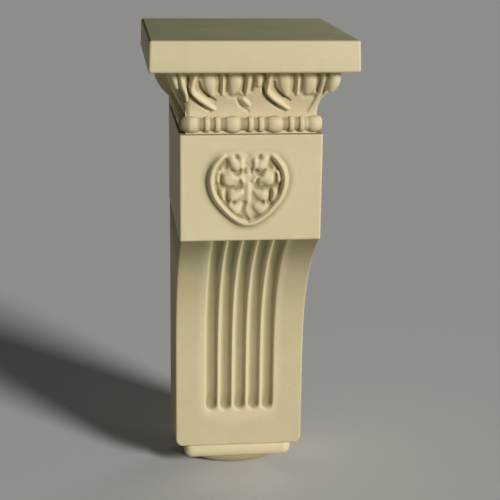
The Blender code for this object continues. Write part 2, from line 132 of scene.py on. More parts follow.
@dataclass(frozen=True)
class Mark:
    """One mark of the carver, a line on a face that is raised above it or cut into it.

    Each point of the line is (across, down, half width). rise is the height where the mark is
    widest, and a cut's is below 0.
    """

    line: Line
    rise: float
    section: Section = Section.ROUND
    pieces: int = 6

    def moved(self, middle: float, stretch: float = 1.0) -> "Mark":
        """The same mark about another middle, stretched across."""
        line = [(middle + across * stretch, down, half) for across, down, half in self.line]
        return Mark(line, self.rise, self.section, self.pieces)

    def work(self, across: np.ndarray, down: np.ndarray, height: np.ndarray) -> None:
        """Works the mark into a field of heights.

        Args:
            across: Where each point of the face is across it.
            down: Where each point is down it.
            height: The heights there, which are changed.
        """
        spine = smooth_line(self.line, self.pieces)
        widest = spine[:, 2].max()
        low = spine[:, :2].min(0) - REACH * widest - BLEND
        high = spine[:, :2].max(0) + REACH * widest + BLEND
        near = (across > low[0]) & (across < high[0]) & (down > low[1]) & (down < high[1])
        if not near.any():
            return
        x, y = across[near], down[near]
        share = np.full(x.shape, np.inf)
        width = np.full(x.shape, widest)
        for a, b in zip(spine, spine[1:]):
            run = b[:2] - a[:2]
            t = ((x - a[0]) * run[0] + (y - a[1]) * run[1]) / max(float(run @ run), 1e-12)
            t = np.clip(t, 0, 1)
            half = a[2] + t * (b[2] - a[2])
            off = np.hypot(x - a[0] - t * run[0], y - a[1] - t * run[1]) / half
            width = np.where(off < share, half, width)
            share = np.minimum(off, share)
        scale = abs(self.rise) * np.sqrt(width / widest)
        inside = np.clip(1 - share**2, 0, 1)
        if self.section is Section.ROUND:
            body = np.sqrt(inside)
        elif self.section is Section.CROWN:
            body = inside**0.35
        else:
            body = inside**2
        if self.rise < 0:
            height[near] -= scale * body
        else:
            past = np.maximum(share - 1, 0) * FLANK
            height[near] = smooth_max(height[near], scale * body - scale * past, BLEND)


def unevenness(a: np.ndarray, b: np.ndarray, size: float) -> np.ndarray:
    """The slow rise and fall of a cast face.

    Args:
        a: Places one way over the face.
        b: Places the other way.
        size: The greatest height.

    Returns:
        A height for each place.
    """
    waves = ((61.0, 47.0, 0.3), (-83.0, 71.0, 1.7), (131.0, -97.0, 2.9), (173.0, 157.0, 4.1))
    total = sum(np.sin(x * a + y * b + turn) for x, y, turn in waves)
    return size * total / len(waves)


def soften(values: np.ndarray, reach: int) -> np.ndarray:
    """A field of values blurred both ways over a grid, its edge carried outwards."""
    kernel = np.exp(-0.5 * (np.arange(-2 * reach, 2 * reach + 1) / reach) ** 2)
    kernel /= kernel.sum()
    padded = np.pad(values, 2 * reach, mode="edge")
    padded = np.apply_along_axis(np.convolve, 0, padded, kernel, "valid")
    return np.apply_along_axis(np.convolve, 1, padded, kernel, "valid")


@dataclass(frozen=True)
class CornerShade:
    """The painted shade on the ornament round the front's left corner."""

    strength: float = 0.8
    from_middle: float = 0.0375
    from_wall: float = 0.108
    fade_across: float = 0.003
    fade_out: float = 0.004

    def amount(self, x: np.ndarray, y: np.ndarray) -> np.ndarray:
        """How much painted shade each place gets, from nothing up to the full strength."""
        across = smooth_step((-x - self.from_middle) / self.fade_across)
        return self.strength * across * smooth_step((-y - self.from_wall) / self.fade_out)


class Bench:
    """The modelling steps that the pieces share."""

    @staticmethod
    def clear() -> None:
        """Leaves nothing selected."""
        bpy.ops.object.select_all(action="DESELECT")

    @staticmethod
    def take(name: str) -> bpy.types.Object:
        """Names the object that an operator has just added, and gives it."""
        piece = bpy.context.active_object
        piece.name = name
        piece.data.name = name
        return piece

    @staticmethod
    def pick(piece: bpy.types.Object) -> None:
        """Leaves one piece selected and active."""
        Bench.clear()
        piece.select_set(True)
        bpy.context.view_layer.objects.active = piece

    @staticmethod
    def settle(piece: bpy.types.Object) -> None:
        """Puts a piece's place into its mesh, and leaves its object at the origin."""
        Bench.pick(piece)
        bpy.ops.object.transform_apply(location=True, rotation=True, scale=True)

    @staticmethod
    def points(piece: bpy.types.Object) -> np.ndarray:
        """The places of a piece's vertices, one row for each."""
        flat = np.empty(len(piece.data.vertices) * 3, np.float32)
        piece.data.vertices.foreach_get("co", flat)
        return flat.reshape(-1, 3)

    @staticmethod
    def note_recess(piece: bpy.types.Object, values: np.ndarray) -> None:
        """Keeps how deep in a hollow each vertex lies, for the finish to darken as painted shade."""
        piece.data.attributes.new(RECESS, "FLOAT", "POINT")
        piece.data.attributes[RECESS].data.foreach_set("value", values.astype(np.float32))

    @staticmethod
    def box(name: str, low: Sequence[float], high: Sequence[float]) -> bpy.types.Object:
        """A box between two corners, to be shaped further."""
        Bench.clear()
        middle = [(a + b) / 2 for a, b in zip(low, high)]
        bpy.ops.mesh.primitive_cube_add(size=1, location=middle)
        bpy.ops.transform.resize(value=[b - a for a, b in zip(low, high)])
        piece = Bench.take(name)
        Bench.settle(piece)
        return piece

    @staticmethod
    def pick_edges(piece: bpy.types.Object, chosen: Callable[[Vector, Vector], bool]) -> None:
        """Selects the edges that a test of their two ends chooses, and opens edit mode."""
        mesh = piece.data
        for part in (*mesh.vertices, *mesh.polygons):
            part.select = False
        for edge in mesh.edges:
            a, b = (mesh.vertices[i] for i in edge.vertices)
            edge.select = chosen(a.co, b.co)
            if edge.select:
                a.select = b.select = True
        Bench.open(piece, "EDGE")

    @staticmethod
    def open(piece: bpy.types.Object, kind: str) -> None:
        """Opens a piece in edit mode, selecting vertices, edges or faces."""
        bpy.context.view_layer.objects.active = piece
        piece.select_set(True)
        bpy.context.tool_settings.mesh_select_mode = [kind == k for k in ("VERT", "EDGE", "FACE")]
        bpy.ops.object.mode_set(mode="EDIT")

    @staticmethod
    def pick_border(piece: bpy.types.Object) -> None:
        """Opens a piece in edit mode with its open border selected."""
        Bench.open(piece, "EDGE")
        bpy.ops.mesh.select_all(action="DESELECT")
        bpy.ops.mesh.select_non_manifold(
            extend=False, use_wire=False, use_boundary=True, use_multi_face=False,
            use_non_contiguous=False, use_verts=False,
        )

    @staticmethod
    def close() -> None:
        """Turns all faces outwards and leaves edit mode."""
        bpy.ops.mesh.select_all(action="SELECT")
        bpy.ops.mesh.normals_make_consistent(inside=False)
        bpy.ops.object.mode_set(mode="OBJECT")

    @staticmethod
    def round_edges(
        piece: bpy.types.Object, radius: float, segments: int, chosen: Callable[[Vector, Vector], bool]
    ) -> None:
        """Bevels the edges that a test chooses."""
        Bench.pick_edges(piece, chosen)
        bpy.ops.mesh.bevel(offset=radius, segments=segments, affect="EDGES", profile=0.5)
        Bench.close()

    @staticmethod
    def cut_at_wall(piece: bpy.types.Object) -> None:
        """Cuts off what lies behind the wall's plane, and closes the cut."""
        Bench.open(piece, "FACE")
        bpy.ops.mesh.select_all(action="SELECT")
        bpy.ops.mesh.bisect(plane_co=(0, 0, 0), plane_no=(0, 1, 0), use_fill=True, clear_outer=True)
        Bench.close()

    @staticmethod
    def apply(piece: bpy.types.Object, kind: str, **settings: object) -> None:
        """Adds a modifier, sets it and applies it."""
        modifier = piece.modifiers.new(kind.lower(), kind)
        for name, value in settings.items():
            setattr(modifier, name, value)
        Bench.pick(piece)
        bpy.ops.object.modifier_apply(modifier=modifier.name)

    @staticmethod
    def unite(piece: bpy.types.Object, other: bpy.types.Object) -> None:
        """Makes one solid of two, in the first of them."""
        Bench.apply(piece, "BOOLEAN", operation="UNION", object=other, solver="EXACT")
        bpy.data.objects.remove(other, do_unlink=True)

    @staticmethod
    def join(pieces: Sequence[bpy.types.Object], name: str) -> bpy.types.Object:
        """Joins several objects into the first one."""
        Bench.clear()
        for piece in pieces:
            piece.select_set(True)
        bpy.context.view_layer.objects.active = pieces[0]
        bpy.ops.object.join()
        return Bench.take(name)

    @staticmethod
    def copy(piece: bpy.types.Object, place: Matrix) -> bpy.types.Object:
        """A copy of a piece with its own mesh, at another place."""
        made = bpy.data.objects.new(piece.name, piece.data.copy())
        made.data.transform(place)
        bpy.context.scene.collection.objects.link(made)
        return made

    @staticmethod
    def shade(piece: bpy.types.Object, angle: float) -> None:
        """Shades a piece smooth but for the arrises sharper than an angle in degrees."""
        Bench.pick(piece)
        bpy.ops.object.shade_smooth_by_angle(angle=math.radians(angle))


@dataclass
class Sheet:
    """A fine face under the carver's hand, kept as rows and columns of points.

    place and out have a point and a direction for each row and column, and height is how far
    the point is moved that way.
    """

    place: np.ndarray
    out: np.ndarray
    height: np.ndarray = field(init=False)

    def __post_init__(self) -> None:
        """Starts with nothing carved."""
        self.height = np.zeros(self.place.shape[:2])

    @classmethod
    def facing_front(cls, place: np.ndarray) -> "Sheet":
        """A face whose carving rises straight towards the front."""
        out = np.zeros_like(place)
        out[:, :, 1] = -1
        return cls(place, out)

    def recess(self, reach: int, depth: float) -> np.ndarray:
        """How deep each point lies in a hollow, 0 to 1, and below 0 on a ridge."""
        around = soften(self.height, reach)
        return np.clip((around - self.height) / depth, -1, 1)

    def model(self, name: str, hollow: np.ndarray) -> bpy.types.Object:
        """Adds a grid and moves its points onto the carved face.

        Args:
            name: The piece's name.
            hollow: The recess of each point, with any painted shade added, kept as an attribute.

        Returns:
            The piece, still open at its border.
        """
        rows, columns = self.height.shape
        Bench.clear()
        bpy.ops.mesh.primitive_grid_add(x_subdivisions=columns - 1, y_subdivisions=rows - 1, size=2)
        piece = Bench.take(name)
        flat = Bench.points(piece)
        i = np.rint((flat[:, 0] + 1) / 2 * (columns - 1)).astype(int)
        j = np.rint((1 - flat[:, 1]) / 2 * (rows - 1)).astype(int)
        carved = self.place + self.out * self.height[:, :, None]
        piece.data.vertices.foreach_set("co", carved[j, i].astype(np.float32).ravel())
        Bench.note_recess(piece, hollow[j, i])
        piece.data.update()
        return piece


def run_back(piece: bpy.types.Object) -> None:
    """Runs a carved face's open border straight back to the wall, and closes it there."""
    Bench.pick_border(piece)
    bpy.ops.mesh.extrude_edges_move()
    bpy.ops.transform.resize(value=(1, 0, 1), center_override=(0, 0, 0))
    bpy.ops.mesh.edge_face_add()
    Bench.close()


@dataclass(frozen=True)
class Casting:
    """The driving sizes of the casting and the levels that they give."""

    top: float
    foot: float
    width: float = 0.130
    depth: float = 0.142
    slab_height: float = 0.0198
    band_height: float = 0.0286
    bead_height: float = 0.0119
    block_height: float = 0.0687
    block_width: float = 0.0906
    block_setback: float = 0.0170
    torus_height: float = 0.0122
    pendant_height: float = 0.0088
    strip_depth: float = 0.0125  # of the plain strip at the wall
    lap: float = 0.0012

    @classmethod
    def from_frame(cls) -> "Casting":
        """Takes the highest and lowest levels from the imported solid."""
        low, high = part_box(NODE)
        return cls(top=high.z, foot=low.z)

    @property
    def band_top(self) -> float:
        """Underside of the slab."""
        return self.top - self.slab_height

    @property
    def beads_top(self) -> float:
        """Where the band of leaves ends."""
        return self.band_top - self.band_height

    @property
    def block_top(self) -> float:
        """Where the block starts."""
        return self.beads_top - self.bead_height

    @property
    def block_foot(self) -> float:
        """Underside of the block."""
        return self.block_top - self.block_height

    @property
    def torus_foot(self) -> float:
        """Underside of the half-round moulding."""
        return self.foot + self.pendant_height

    @property
    def shaft_foot(self) -> float:
        """Underside of the shaft."""
        return self.torus_foot + self.torus_height

    @property
    def half_block(self) -> float:
        """Half the block's width."""
        return self.block_width / 2

    @property
    def block_depth(self) -> float:
        """The block's reach from the wall."""
        return self.depth - self.block_setback


@dataclass
class Slab:
    """The plain slab on top, with soft arrises, drawn in a little towards its top."""

    casting: Casting
    draft: float = 0.0007
    arris: float = 0.0019
    segments: int = 6

    def build(self) -> bpy.types.Object:
        """Models the slab."""
        c = self.casting
        piece = Bench.box("slab", (-c.width / 2, -c.depth, c.band_top), (c.width / 2, 0, c.top))
        Bench.pick_edges(piece, lambda a, b: min(a.z, b.z) > c.top - self.arris)
        shrink = (1 - 2 * self.draft / c.width, 1 - self.draft / c.depth, 1)
        bpy.ops.transform.resize(value=shrink, center_override=(0, 0, c.top))
        bpy.ops.object.mode_set(mode="OBJECT")
        Bench.round_edges(piece, self.arris, self.segments, lambda a, b: min(a.y, b.y) < -self.arris)
        Bench.shade(piece, 30)
        return piece


@dataclass
class Neck:
    """The plain core behind the ornament, and the strip at the wall where the carving stops."""

    casting: Casting
    bead_inset: float = 0.0054
    forward: float = 0.0014
    reach: float = 0.0120  # how far the strip stands out past the block, under the slab
    lift: float = 0.0072  # it meets the block's sides this far above the block
    power: float = 3.5
    rows: int = 48
    arris: float = 0.0008

    def wall_strip(self) -> bpy.types.Object:
        """Models the strip, which bellies out from the block's sides up to the slab."""
        c = self.casting
        Bench.clear()
        bpy.ops.mesh.primitive_grid_add(x_subdivisions=1, y_subdivisions=self.rows, size=2)
        piece = Bench.take("wall_strip")
        low, high = c.block_top - c.lap, c.band_top + c.lap
        drop = c.band_top - c.block_top - self.lift
        for vertex in piece.data.vertices:
            level = low + (high - low) * (vertex.co.y + 1) / 2
            share = min(1.0, max(0.0, (c.band_top - level) / drop))
            half = c.half_block + self.reach * (1 - share**self.power)
            vertex.co = (math.copysign(half, vertex.co.x), 0, level)
        Bench.open(piece, "FACE")
        bpy.ops.mesh.select_all(action="SELECT")
        bpy.ops.mesh.extrude_region_move(TRANSFORM_OT_translate={"value": (0, -c.strip_depth, 0)})
        Bench.close()
        Bench.round_edges(piece, self.arris, 3, lambda a, b: max(a.y, b.y) < -self.arris and a.x * b.x > 0)
        return piece

    def build(self) -> bpy.types.Object:
        """Models the core and the strip as one."""
        c = self.casting
        half = c.half_block - self.bead_inset + self.forward
        front = c.block_depth - self.bead_inset + self.forward
        low, high = c.block_top - c.lap, c.band_top + c.lap
        core = Bench.box("neck", (-half, -front, low), (half, 0, high))
        Bench.unite(core, self.wall_strip())
        Bench.shade(core, 30)
        return core


@dataclass
class LeafBand:
    """The band of leaves under the slab, carved round three sides of a hollow curve."""

    casting: Casting
    lip: float = 0.0058
    neck: float = 0.0036
    core: float = 0.0085
    squareness: float = 5.0
    pitch: float = 0.0465
    shift: float = 0.0039
    side_leaves: int = 2
    side_margin: float = 0.0070
    front_step: float = 0.00045
    side_step: float = 0.00065
    corner_steps: int = 50
    rows: int = 76
    level_slack: float = 2e-4  # how far off its level an edge of the border may lie
    end_fade: float = 0.003
    uneven: float = 0.00008
    recess_reach: int = 6  # in rows and columns
    recess_depth: float = 0.0011
    # painted shade round the left corner of the front, starting a little below the slab
    painted_shade: CornerShade = CornerShade()
    shade_start: float = 0.010  # below the slab
    shade_fade: float = 0.006

    # A leaf: a strong rib that curls in from its left, two lobes with a fine midrib between
    # them, and a short rib on its right
    leaf: tuple[Mark, ...] = (
        Mark(((-0.0080, 0.0, 0.0034), (-0.0078, 0.0080, 0.0035), (-0.0060, 0.0150, 0.0016)), 0.0019),
        Mark(((0.0080, 0.0, 0.0037), (0.0080, 0.0080, 0.0037), (0.0068, 0.0140, 0.0018)), 0.0019),
        Mark(
            ((-0.0156, 0.0, 0.0014), (-0.0186, 0.0105, 0.0017), (-0.0154, 0.0160, 0.0019),
             (-0.0092, 0.0208, 0.0018), (-0.0042, 0.0246, 0.0011)),
            0.0026,
        ),
        Mark(((0.0170, 0.0, 0.0013), (0.0162, 0.0085, 0.0014), (0.0152, 0.0150, 0.0009)), 0.0016),
        Mark(((0.0006, 0.0, 0.0008), (0.0006, 0.0150, 0.0007)), 0.0016),
        Mark(
            ((-0.0142, 0.0070, 0.0009), (-0.0128, 0.0118, 0.0015), (-0.0078, 0.0164, 0.0016),
             (-0.0034, 0.0196, 0.0009)),
            -0.0021, Section.SOFT,
        ),
        Mark(
            ((-0.0207, 0.0040, 0.0008), (-0.0210, 0.0105, 0.0011), (-0.0182, 0.0166, 0.0013),
             (-0.0118, 0.0224, 0.0013), (-0.0066, 0.0262, 0.0009)),
            -0.0019, Section.SOFT,
        ),
        Mark(((-0.0018, 0.0020, 0.0010), (-0.0018, 0.0140, 0.0011)), -0.0014, Section.SOFT),
        Mark(((0.0029, 0.0020, 0.0009), (0.0029, 0.0140, 0.0010)), -0.0012, Section.SOFT),
        Mark(((0.0136, 0.0020, 0.0009), (0.0133, 0.0135, 0.0014)), -0.0017, Section.SOFT),
        Mark(((0.0060, 0.0160, 0.0030), (0.0110, 0.0160, 0.0026)), -0.0009, Section.SOFT),
    )
    # What stands between two leaves: a bud, a curled tongue below it, and the hollows round them
    dart: tuple[Mark, ...] = (
        Mark(((-0.0004, 0.0030, 0.0022), (-0.0004, 0.0080, 0.0021)), 0.0021),
        Mark(((-0.0094, 0.0186, 0.0013), (-0.0076, 0.0202, 0.0018), (-0.0058, 0.0222, 0.0012)), 0.0015),
        Mark(((-0.0132, 0.0182, 0.0009), (-0.0112, 0.0222, 0.0013), (-0.0060, 0.0266, 0.0010)),
             -0.0013, Section.SOFT),
        Mark(((-0.0038, 0.0040, 0.0009), (-0.0046, 0.0130, 0.0014)), -0.0014, Section.SOFT),
        Mark(((0.0018, 0.0, 0.0009), (0.0040, 0.0066, 0.0013), (0.0030, 0.0138, 0.0012)),
             -0.0020, Section.SOFT),
    )
    # What the front's left corner has before its first leaf, and the rib that ends it on the right
    end: tuple[Mark, ...] = (
        Mark(((0.0424, 0.0110, 0.0012), (0.0408, 0.0180, 0.0013), (0.0364, 0.0262, 0.0008)), 0.0013),
        Mark(((-0.0450, 0.0, 0.0014), (-0.0436, 0.0080, 0.0015), (-0.0414, 0.0140, 0.0014),
              (-0.0406, 0.0190, 0.0009)), 0.0021),
        Mark(((-0.0403, 0.0030, 0.0012), (-0.0403, 0.0070, 0.0014)), -0.0020, Section.SOFT),
        Mark(((-0.0474, 0.0010, 0.0012), (-0.0464, 0.0110, 0.0016), (-0.0440, 0.0220, 0.0017)),
             -0.0020, Section.SOFT),
    )
    corner: Mark = Mark(
        ((0.0, 0.0, 0.0034), (0.0, 0.0060, 0.0042), (0.0, 0.0092, 0.0034)), 0.0064, Section.CROWN
    )
    worn_corner: Mark = Mark(((0.0, 0.0, 0.0026), (0.0, 0.0060, 0.0028), (0.0, 0.0100, 0.0018)), 0.0018)

    def profile(self, down: np.ndarray) -> np.ndarray:
        """How far the plain band stands out past the block, at a depth below the slab."""
        share = 0.5 + 0.5 * np.cos(np.pi * np.clip(down / self.casting.band_height, 0, 1))
        return -self.neck + (self.lip + self.neck) * share

    def columns(self) -> np.ndarray:
        """The band's way round: for each column its anchor and the angle that it faces."""
        c = self.casting
        half = c.half_block - self.core
        front = c.block_depth - self.core
        back = c.strip_depth - c.lap
        side = np.linspace(back, front, round((front - back) / self.side_step))
        face = np.linspace(-half, half, round(2 * half / self.front_step))[1:-1]
        turn = np.linspace(0, math.pi / 2, self.corner_steps)
        left = [(-half, -y, math.pi) for y in side[:-1]] + [(-half, -front, math.pi + t) for t in turn]
        right = [(-x, y, 3 * math.pi - t) for x, y, t in reversed(left)]
        middle = [(x, -front, 1.5 * math.pi) for x in face]
        return np.array([*left, *middle, *right])

    def sheet(self) -> tuple[Sheet, np.ndarray, np.ndarray]:
        """The plain band before it is carved, its columns' facing and each row's depth."""
        c = self.casting
        down = np.linspace(-c.lap, c.band_height + c.lap, self.rows)
        way = self.columns()
        cos, sin = np.cos(way[:, 2]), np.sin(way[:, 2])
        p = self.squareness
        reach = (np.abs(cos) ** p + np.abs(sin) ** p) ** (-1 / p)
        out = np.stack([np.sign(cos) * np.abs(cos) ** (p - 1), np.sign(sin) * np.abs(sin) ** (p - 1)], 1)
        out /= np.linalg.norm(out, axis=1)[:, None]
        away = self.core + self.profile(down)
        x = way[None, :, 0] + away[:, None] * (reach * cos)[None, :]
        y = way[None, :, 1] + away[:, None] * (reach * sin)[None, :]
        z = np.broadcast_to((c.band_top - down)[:, None], x.shape)
        lean = np.gradient(-away, down)[:, None]
        size = np.sqrt(1 + lean**2)
        normal = np.stack([out[:, 0] / size, out[:, 1] / size, -np.broadcast_to(lean, x.shape) / size], 2)
        return Sheet(np.stack([x, y, z], 2), normal), out, np.broadcast_to(down[:, None], x.shape)

    def units(self, middle: float, stretch: float) -> list[Mark]:
        """The marks of a leaf about a middle, and of the dart on its right."""
        half = self.pitch / 2 * stretch
        leaf = [mark.moved(middle, stretch) for mark in self.leaf]
        return leaf + [mark.moved(middle + half, stretch) for mark in self.dart]

    def build(self) -> bpy.types.Object:
        """Models the band: the plain curve, the carving, and flat faces that close it."""
        c = self.casting
        sheet, out, down = self.sheet()
        x, y = sheet.place[:, :, 0], sheet.place[:, :, 1]
        front = np.broadcast_to(np.abs(out[:, 1]) >= np.abs(out[:, 0]), x.shape)
        marks = [*self.units(self.shift - self.pitch / 2, 1.0), *self.end]
        marks += [mark.moved(self.shift + self.pitch / 2) for mark in self.leaf]
        self.carve(marks, np.where(front, x, AWAY), down, sheet.height)
        run = c.block_depth + self.lip - c.strip_depth - 2 * self.side_margin
        pitch = run / self.side_leaves
        stretch = pitch / self.pitch
        sides = []
        for k in range(self.side_leaves):
            middle = self.side_margin + (k + 0.5) * pitch
            sides += self.units(middle, stretch)
        for side in (-1, 1):
            mine = ~front & (np.sign(x) == side)
            across = np.where(mine, y + c.block_depth + self.lip, AWAY)
            self.carve(sides, across, down, sheet.height)
        corner_x = c.half_block + self.profile(down) - np.abs(x)
        corner_y = c.block_depth + self.profile(down) + y
        for side, corner in ((-1, self.worn_corner), (1, self.corner)):
            corner.work(np.where(np.sign(x) == side, corner_x - corner_y, AWAY), down, sheet.height)
        self.calm_ends(sheet, y)
        sheet.height = soften(sheet.height, 1)
        sheet.height += unevenness(x + y, down, self.uneven)
        # painted shade on the left corner, added to the recess
        painted_shade = self.painted_shade.amount(x, y) * smooth_step((down - self.shade_start) / self.shade_fade)
        piece = sheet.model("leaf_band", sheet.recess(self.recess_reach, self.recess_depth) + painted_shade)
        self.close(piece)
        return piece

    @staticmethod
    def carve(marks: Iterable[Mark], across: np.ndarray, down: np.ndarray, height: np.ndarray) -> None:
        """Raises what is raised first, then cuts what is cut."""
        for mark in sorted(marks, key=lambda m: m.rise < 0):
            mark.work(across, down, height)

    def calm_ends(self, sheet: Sheet, y: np.ndarray) -> None:
        """Lets the carving die out at the wall strip."""
        sheet.height *= smooth_step((-y - self.casting.strip_depth) / self.end_fade)

    def close(self, piece: bpy.types.Object) -> None:
        """Closes the band with flat faces above, below and at its back."""
        c = self.casting
        top, foot = c.band_top + c.lap, c.beads_top - c.lap
        for level in (top, foot):
            Bench.clear()
            Bench.pick_edges(piece, lambda a, b, z=level: abs(a.z - z) + abs(b.z - z) < self.level_slack)
            bpy.ops.mesh.edge_face_add()
            bpy.ops.object.mode_set(mode="OBJECT")
        Bench.pick_border(piece)
        bpy.ops.mesh.edge_face_add()
        Bench.close()
        Bench.shade(piece, 50)


@dataclass
class BeadRow:
    """Rows of beads and reels along the front and both sides, melted into one casting."""

    casting: Casting
    radius: float = 0.0058
    half_length: float = 0.0068
    corner_radius: float = 0.0060
    left_end: float = 0.0076
    right_end: float = 0.0056
    inset: float = 0.0054
    shift: float = 0.0017
    reel_radius: float = 0.0054
    reel_width: float = 0.0034
    reel_gap: float = 0.0066
    reel_shift: float = 0.0011
    reel_round: float = 0.0010
    groove_radius: float = 0.0043
    fullness: float = 0.72
    in_front: int = 4
    grain: float = 0.00042
    past_wall: float = 0.003  # the side rows run on this far, and are cut off at the wall
    crown: float = 0.0004  # of a bead, which stands clear of the painted shade
    under_start: float = 0.70  # where the painted shade above and below starts, as a share of the radius
    under_fade: float = 0.30
    palest: float = -0.3
    # painted shade on the beads round the left corner
    painted_shade: CornerShade = CornerShade()

    def bead(self) -> bpy.types.Object:
        """One long bead, lying along X."""
        Bench.clear()
        bpy.ops.mesh.primitive_uv_sphere_add(segments=32, ring_count=20, radius=self.radius)
        bead = Bench.take("bead")
        for vertex in bead.data.vertices:
            along = max(-1.0, min(1.0, vertex.co.x / self.radius))
            ring = math.hypot(vertex.co.y, vertex.co.z)
            full = (1 - along * along) ** (self.fullness / 2) * self.radius / ring if ring > 1e-7 else 1.0
            vertex.co = (along * self.half_length, vertex.co.y * full, vertex.co.z * full)
        return bead

    def reel(self) -> bpy.types.Object:
        """One reel, lying along X, with rounded rims."""
        Bench.clear()
        turn = (0, math.pi / 2, 0)
        bpy.ops.mesh.primitive_cylinder_add(
            vertices=32, radius=self.reel_radius, depth=self.reel_width, rotation=turn
        )
        reel = Bench.take("reel")
        Bench.settle(reel)
        Bench.round_edges(reel, self.reel_round, 3, lambda a, b: abs(a.x - b.x) < 1e-5)
        return reel

    def spindle(self, start: Sequence[float], end: Sequence[float]) -> bpy.types.Object:
        """The thin rod that beads and reels are threaded on."""
        way = Vector(end) - Vector(start)
        Bench.clear()
        bpy.ops.mesh.primitive_cylinder_add(vertices=24, radius=self.groove_radius, depth=way.length)
        rod = Bench.take("spindle")
        rod.data.transform(Matrix.Translation((Vector(start) + Vector(end)) / 2)
                           @ way.to_track_quat("Z", "Y").to_matrix().to_4x4())
        return rod

    def row(self, places: Sequence[float]) -> list[tuple[str, float]]:
        """Where the beads and the pairs of reels lie along a row."""
        middles = [(a + b) / 2 + self.reel_shift for a, b in zip(places, places[1:])]
        reels = [middle + side * self.reel_gap / 2 for middle in middles for side in (-1, 1)]
        return [("bead", p) for p in places] + [("reel", p) for p in reels]

    def build(self) -> bpy.types.Object:
        """Threads the three rows and melts them together."""
        c = self.casting
        level = c.beads_top - c.bead_height / 2
        half = c.half_block - self.inset
        front = c.block_depth - self.inset
        pitch = 2 * half / (self.in_front - 1)
        places = [-half + k * pitch for k in range(self.in_front)]
        places[1:-1] = [p + self.shift for p in places[1:-1]]
        patterns = {"bead": self.bead(), "reel": self.reel()}
        made = [self.spindle((-half, -front, level), (half, -front, level))]
        for kind, place in self.row(places):
            if kind == "reel" or abs(place) < half - self.radius:
                made.append(Bench.copy(patterns[kind], Matrix.Translation((place, -front, level))))
        along = [k * pitch for k in range(math.ceil(front / pitch) + 1)]
        turn = Matrix.Rotation(math.pi / 2, 4, "Z")
        for side in (-1, 1):
            made.append(self.spindle((side * half, -front, level), (side * half, self.past_wall, level)))
            for kind, place in self.row(along):
                if self.radius < place < front + self.half_length:
                    spot = Matrix.Translation((side * half, place - front, level))
                    made.append(Bench.copy(patterns[kind], spot @ turn))
            deep = self.corner_radius
            long = self.left_end if side < 0 else self.right_end
            spot = Matrix.Translation((side * (c.half_block - long), deep - c.block_depth, level))
            fat = Matrix.Diagonal((long / self.half_length, deep / self.radius, 1, 1))
            made.append(Bench.copy(patterns["bead"], spot @ fat))
        for pattern in patterns.values():
            bpy.data.objects.remove(pattern, do_unlink=True)
        piece = Bench.join(made, "bead_row")
        Bench.apply(piece, "REMESH", mode="VOXEL", voxel_size=self.grain, adaptivity=0.0)
        Bench.apply(piece, "SMOOTH", factor=0.5, iterations=3)
        Bench.cut_at_wall(piece)
        self.mark_grooves(piece, half, front, level)
        Bench.shade(piece, 60)
        return piece

    def mark_grooves(self, piece: bpy.types.Object, half: float, front: float, level: float) -> None:
        """Notes how deep each point lies between the beads, for the finish's painted shade there and above
        and below them.
        """
        x, y, z = Bench.points(piece).T
        from_front = np.hypot(np.hypot(y + front, z - level), np.clip(np.abs(x) - half, 0, None))
        from_side = np.hypot(np.hypot(np.abs(x) - half, z - level), np.clip(-y - front, 0, None))
        at_corner = (np.abs(x) > half - self.right_end) & (-y > front - self.corner_radius)
        away = np.where(at_corner, self.radius, np.minimum(from_front, from_side))
        deep = (self.radius - self.crown - away) / (self.radius - self.groove_radius)
        under = np.clip((np.abs(z - level) / self.radius - self.under_start) / self.under_fade, 0, 1)
        # painted shade between, above and below the beads, and round the left corner
        bead_shade = np.maximum(np.maximum(deep, under), self.painted_shade.amount(x, y))
        Bench.note_recess(piece, np.clip(bead_shade, self.palest, 1))


